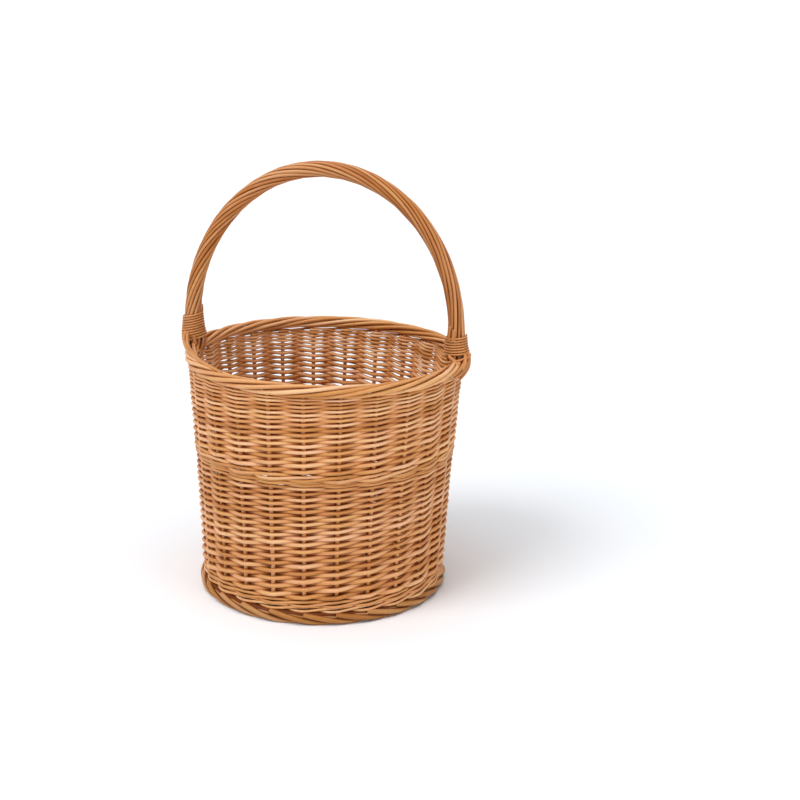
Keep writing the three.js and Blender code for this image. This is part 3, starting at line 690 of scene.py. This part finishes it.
def bundleRadius(z):
    # the wrapped handle's radius: wider by a power of the share that is left to the spread's top
    left = np.clip(1 - np.maximum(z - bow["rimTop"], 0) / bow["spreadHeight"], 0, 1)
    return bow["bundle"] + bow["footSpread"] * left ** bow["spreadPower"]


bowLine, bowAt = bowRun(bow["samples"])
bowAhead = np.gradient(bowLine, axis=0)
bowAhead /= np.linalg.norm(bowAhead, axis=1, keepdims=True)
bowFront = np.array([0.0, -1.0, 0.0])
bowOut = np.cross(bowFront, bowAhead)

wrapRods = {"count": 12, "bands": 3, "radius": 1.8, "leftTwist": 0.033, "topTwist": 0.026,
            "rightTwist": 0.005, "uneven": 0.07, "taper": 0.07, "angleWander": 0.05,
            "angleWaves": (140.0, 63.0), "ringWander": 0.22, "ringWaves": (90.0, 47.0), "dive": 3.0,
            "diveBelow": 2.0, "diveHeight": 8.0, "across": (0.2, 1, 0.1)}


def twistedRods(look):
    # rods side by side on a circle round the bow. The circle's turn is the sum of a twist for each
    # millimetre, quicker on the left: out * cosine + front * sine. Every other rod has its butt at the
    # left foot, and their ends dive into the rim
    share = bowAt / bowAt[-1]
    twist = np.interp(share, [0, 0.5, 1], [look["leftTwist"], look["topTwist"], look["rightTwist"]])
    turn = np.concatenate([[0], np.cumsum((twist[1:] + twist[:-1]) / 2 * np.diff(bowAt))])
    wide = rng.normal(1, look["uneven"], look["count"])
    wide = wide / wide.mean()
    seat = 2 * np.pi * (np.cumsum(wide) - wide / 2) / wide.sum()
    grow = np.where(np.arange(look["count"]) % 2 == 0, 1, -1)[:, None]
    thick = look["radius"] * wide[:, None] * (1 + look["taper"] * grow * (1 - 2 * share)[None])
    angle = seat[:, None] + turn[None]
    angle = angle + sway(thick.shape, bowAt[None], look["angleWander"], look["angleWaves"])
    ring = bundleRadius(bowLine[:, 2])[None] - thick
    ring = ring + sway(thick.shape, bowAt[None], look["ringWander"], look["ringWaves"])
    below = (bow["rimTop"] - look["diveBelow"] - bowLine[:, 2]) / look["diveHeight"]
    ring = ring - look["dive"] * smooth(below)[None]
    side = np.cos(angle)[..., None] * bowOut + np.sin(angle)[..., None] * bowFront
    return bowLine[None] + ring[..., None] * side, thick, side


lines, thick, outward = twistedRods(wrapRods)
inBand = wrapRods["count"] // wrapRods["bands"]
for band in range(wrapRods["bands"]):
    own = slice(inBand * band, inBand * (band + 1))
    part = rods(lines[own], thick[own], wrapRods["across"], sides=12, outward=outward[own])
    # painted shade: the dark lines between the handle's rods are painted shade, widened here
    part["tuck"] = np.sqrt(part["tuck"])  # the dark lines between the rods are wider here
    addPiece(f"twistedRods_{band + 1}", [part], skins["handle"], [f"handle_wrap_{band + 1}"])

handleCore = {"legFoot": 174.8, "legSamples": 16, "tipRadius": 2.0, "legGrows": 1.0, "growHeight": 70.0,
              "bowGrows": 2.0, "swellFrom": 250.0, "swellHeight": 12.0}


def coreGirth(look, z):
    # slim at the leg's tip, growing evenly up the leg, then easing to the bow's full radius at the rim
    legShare = np.clip((z - look["legFoot"]) / look["growHeight"], 0, 1)
    bowShare = smooth((z - look["swellFrom"]) / look["swellHeight"])
    return look["tipRadius"] + look["legGrows"] * legShare + look["bowGrows"] * bowShare


legHeights = np.linspace(handleCore["legFoot"], bow["start"], handleCore["legSamples"])[:-1]
legRun = np.column_stack([-wallRadius(legHeights), 0 * legHeights, legHeights])
coreLine = np.concatenate([legRun, bowLine, legRun[::-1] * [-1, 1, 1]])
core = rods(coreLine, coreGirth(handleCore, coreLine[:, 2]), (0, 1, 0), sides=12)
addPiece("handleRod", [core], skins["handle"], ["handle_core"])
print("handle twisted")

# Bindings: one rod wound up round each foot of the handle, the left foot at side -1, the right at 1
footBinding = {"radius": 1.15, "pitch": 2.75, "low": 264.4, "samples": 26, "slant": {-1: 0.2, 1: 0.06},
               "level": 257.0, "standing": {-1: 1.0, 1: 0.2}, "turns": {-1: 9.5, 1: 7},
               "tailSamples": 12, "tailRadius": 1.7, "endRadii": (1.1, 0.5), "press": 0.1,
               "across": (0.3, 0.5, 0.81)}
leftTail = {"run": 11.0, "bend": 2.6, "inward": 6.5, "inwardPower": 3}
rightTail = {"turn": 2.5, "drop": 8.0, "dropPower": 1.6, "out": 3.0, "outPower": 0.7, "clear": 0.6}
# Rods that end at the handle's feet, from point to point: the tops of the handle's own rods, and the
# rim's rods where they climb to the binding
looseEnds = {
    -1: [[(-152.5, -6, 274), (-151.5, -21, 265.8), (-138, -53, 263.8), (-113, -90, 263),
          (-80, -119, 259.5)],
         [(-150, -10, 272), (-143, -36, 264.8), (-121, -78, 263.3), (-95, -104, 259.5)],
         [(-139.5, -16, 260), (-140.8, -15.5, 266), (-141.6, -15, 270.5)]],
    1: [[(132.9, -9.5, 279), (133.4, -8.9, 289), (133.7, -8.5, 296)],
        [(137.5, -11.4, 279), (137.7, -10.6, 288), (137.8, -10.3, 293)],
        [(134, -17, 266), (139.5, -22, 263.4), (146.5, -27, 258.5)],
        [(150, -27, 254), (152.2, -19, 259.5), (150.8, -9.5, 267)],
        [(141, -50, 252), (147.5, -32, 254.5), (151, -16, 259.5), (151.5, -6, 266)],
        [(142.5, -46, 249), (148.6, -30.5, 250.5), (153.2, -14, 254.5), (154, -5, 263)],
        [(152.6, -5, 270), (155.2, -6, 262), (154.8, -8, 253), (151, -14, 246.5), (146.5, -20, 242)]],
}
looseRod = {"radius": 1.75, "samples": 12, "easedOver": 9}
# the end that stands up after the last turn: how far on and how far up each of its places is
endTurns = np.array([0.14, 0.22, 0.26, 0.28, 0.3])
endRises = np.array([0.8, 2.2, 4.2, 6.4, 8.4])


def bindingTail(side, radius, low):
    # where the rod comes from, as angle, height and radius. On the right it rises by a power across the
    # front, bowed out by a sine; on the left it comes straight up outside, from within by a cube
    left = 1 - np.linspace(0, 1, footBinding["tailSamples"] + 1)[:-1]
    if side > 0:
        out = rightTail["out"] * np.sin(np.pi * (1 - left)) ** rightTail["outPower"] + rightTail["clear"]
        z = low - rightTail["drop"] * left ** rightTail["dropPower"]
        return -rightTail["turn"] * left, z, radius + out
    z = low - leftTail["bend"] - leftTail["run"] * left
    inward = leftTail["inward"] * left ** leftTail["inwardPower"]
    return -leftTail["bend"] / radius + 0 * left, z, radius - inward


def boundFoot(side, look):
    # a helix round the foot on the bundle's radius, starting and ending on the outward side, with its
    # tail before it and a short end standing up after it, slanted by a share of the distance out
    turns = look["turns"][side]
    a = np.linspace(0, 2 * np.pi * turns, int(look["samples"] * turns))
    z = look["low"] + look["pitch"] * a / (2 * np.pi)
    radius = bundleRadius(z) + look["radius"] - look["press"]
    face = 0 if side > 0 else np.pi
    tailAngle, tailZ, tailRadius = bindingTail(side, radius[0], look["low"])
    a = np.concatenate([tailAngle, a, a[-1] + endTurns])
    z = np.concatenate([tailZ, z, z[-1] + endRises * look["standing"][side]])
    radius = np.concatenate([tailRadius, radius, np.full(len(endTurns), radius[-1])])
    x, y = radius * np.cos(face + a), radius * np.sin(face + a)
    middle = side * bow["halfWidth"] + leaning(z)
    line = np.column_stack([middle + x, y, z + look["slant"][side] * x * (z > look["level"])])
    return line, np.column_stack([np.cos(face + a), np.sin(face + a), 0 * z])


def bentLine(knots, look):
    # straight from point to point, then each place the mean of those beside it, which eases the corners
    run = np.linspace(0, len(knots) - 1, look["samples"] * (len(knots) - 1))
    bent = np.stack([np.interp(run, range(len(knots)), axis) for axis in np.array(knots).T], -1)
    half, window = look["easedOver"] // 2, np.ones(look["easedOver"]) / look["easedOver"]
    pad = np.pad(bent, ((half, half), (0, 0)), mode="edge")
    return np.stack([np.convolve(axis, window, "valid") for axis in pad.T], -1)


for foot, side in (("left", -1), ("right", 1)):
    line, outward = boundFoot(side, footBinding)
    thick = np.full(len(line), footBinding["radius"])
    tail = footBinding["tailSamples"]
    thick[:tail] = np.linspace(footBinding["tailRadius"], footBinding["radius"], tail)
    thick[-len(endTurns):] = np.linspace(*footBinding["endRadii"], len(endTurns))
    parts = [rods(line, thick, footBinding["across"], sides=10, outward=outward)]
    for knots in looseEnds[side]:
        parts.append(rods(bentLine(knots, looseRod), looseRod["radius"], footBinding["across"], sides=12))
    addPiece("boundFoot_" + foot, parts, skins["binding"], ["binding_" + foot])
print("feet bound")

# The stage: floorWhite is what the camera sees of the floor beyond its own colour
studio = {"floorSize": 60.0, "floorColour": (0.94, 0.95, 0.965), "floorWhite": (0.15, 0.178, 0.212),
          "floorRough": 0.9, "floorShine": 0.1, "worldStrength": 0.08,
          "lamps": {"above": {"turn": 230.0, "height": 84.0, "spread": 75.0, "strength": 1.7},
                    "leftFront": {"turn": 228.0, "height": 43.0, "spread": 36.0, "strength": 1.36},
                    "front": {"turn": 332.0, "height": 7.0, "spread": 34.0, "strength": 1.13}}}


def seenDirectly(tree):
    # 1 for the camera's rays, and for rays that glass or gloss sends on
    path = tree.nodes.new("ShaderNodeLightPath")
    total = path.outputs["Is Camera Ray"]
    for label in ("Is Glossy Ray", "Is Transmission Ray"):
        either = tree.nodes.new("ShaderNodeMath")
        either.operation = "MAXIMUM"
        tree.links.new(total, either.inputs[0])
        tree.links.new(path.outputs[label], either.inputs[1])
        total = either.outputs[0]
    return total


def plainFloor():
    # a plain pale floor that takes the shadow, and gives the camera floorWhite more of the same light,
    # a little bluer against the warm light that the willow throws on it
    mesh = bpy.data.meshes.new("floor")
    h = studio["floorSize"] / 2
    mesh.from_pydata([(-h, -h, 0), (h, -h, 0), (h, h, 0), (-h, h, 0)], [], [(0, 1, 2, 3)])
    finish = bpy.data.materials.new("white_floor")
    finish.use_nodes = True
    tree = finish.node_tree
    shader = tree.nodes["Principled BSDF"]
    shader.inputs["Base Color"].default_value = (*studio["floorColour"], 1)
    shader.inputs["Roughness"].default_value = studio["floorRough"]
    shader.inputs["Specular IOR Level"].default_value = studio["floorShine"]
    more = tree.nodes.new("ShaderNodeBsdfDiffuse")
    both = tree.nodes.new("ShaderNodeAddShader")
    share = tree.nodes.new("ShaderNodeVectorMath")
    share.operation = "SCALE"
    share.inputs[0].default_value = studio["floorWhite"]
    tree.links.new(seenDirectly(tree), share.inputs["Scale"])
    tree.links.new(share.outputs[0], more.inputs["Color"])
    tree.links.new(shader.outputs["BSDF"], both.inputs[0])
    tree.links.new(more.outputs[0], both.inputs[1])
    tree.links.new(both.outputs[0], tree.nodes["Material Output"].inputs["Surface"])
    mesh.materials.append(finish)
    floor = bpy.data.objects.new("floor", mesh)
    bpy.context.scene.collection.objects.link(floor)


def paleWorld():
    # an even, weak light from all round, which the camera sees as white
    world = bpy.data.worlds.new("pale_room")
    bpy.context.scene.world = world
    world.use_nodes = True
    tree = world.node_tree
    tree.nodes.clear()
    light = tree.nodes.new("ShaderNodeBackground")
    light.inputs["Strength"].default_value = studio["worldStrength"]
    seen = tree.nodes.new("ShaderNodeBackground")
    pick = tree.nodes.new("ShaderNodeMixShader")
    out = tree.nodes.new("ShaderNodeOutputWorld")
    for background in (light, seen):
        background.inputs["Color"].default_value = (1, 1, 1, 1)
    tree.links.new(seenDirectly(tree), pick.inputs[0])
    tree.links.new(light.outputs[0], pick.inputs[1])
    tree.links.new(seen.outputs[0], pick.inputs[2])
    tree.links.new(pick.outputs[0], out.inputs[0])


def softSun(name, look):
    # an even light from one side: turn is where it comes from, seen from above, height its angle up
    lamp = bpy.data.lights.new(name, "SUN")
    lamp.angle = np.radians(look["spread"])
    lamp.energy = look["strength"]
    made = bpy.data.objects.new(name, lamp)
    made.rotation_euler = (np.radians(90 - look["height"]), 0, np.radians(look["turn"] + 90))
    bpy.context.scene.collection.objects.link(made)


# Lengths in metres, turns in degrees, and the focal length in pixels of an 800 px frame
eye = {"distance": 1.7, "elevation": 16.79, "azimuth": 11.65, "aimHeight": 0.20426, "yaw": 2.71,
       "roll": 0.60, "focal": 1573.0, "frame": 800.0, "sensor": 36.0}


def standCamera():
    # the eye looks level with its elevation at the basket's axis, then turns right by the yaw and
    # rolls, which leaves the basket left of the picture's middle
    e, a, y, r = (np.radians(eye[key]) for key in ("elevation", "azimuth", "yaw", "roll"))
    place = [eye["distance"] * np.cos(e) * np.sin(a), -eye["distance"] * np.cos(e) * np.cos(a),
             eye["aimHeight"] + eye["distance"] * np.sin(e)]
    right = np.array([np.cos(a), np.sin(a), 0])
    ahead = np.array([-np.cos(e) * np.sin(a), np.cos(e) * np.cos(a), -np.sin(e)])
    up = np.cross(right, ahead)
    right, ahead = right * np.cos(y) - ahead * np.sin(y), ahead * np.cos(y) + right * np.sin(y)
    right, up = right * np.cos(r) + up * np.sin(r), up * np.cos(r) - right * np.sin(r)
    data = bpy.data.cameras.new("eye")
    data.sensor_width = eye["sensor"]
    data.lens = eye["focal"] / eye["frame"] * eye["sensor"]
    camera = bpy.data.objects.new("eye", data)
    turned = Matrix(np.column_stack([right, up, -ahead]).tolist()).to_4x4()
    turned.translation = place
    camera.matrix_world = turned
    bpy.context.scene.collection.objects.link(camera)
    bpy.context.scene.camera = camera


plainFloor()
paleWorld()
for name, look in studio["lamps"].items():
    softSun(name, look)
standCamera()
bpy.context.scene.view_settings.view_transform = "Standard"
print("stage set")
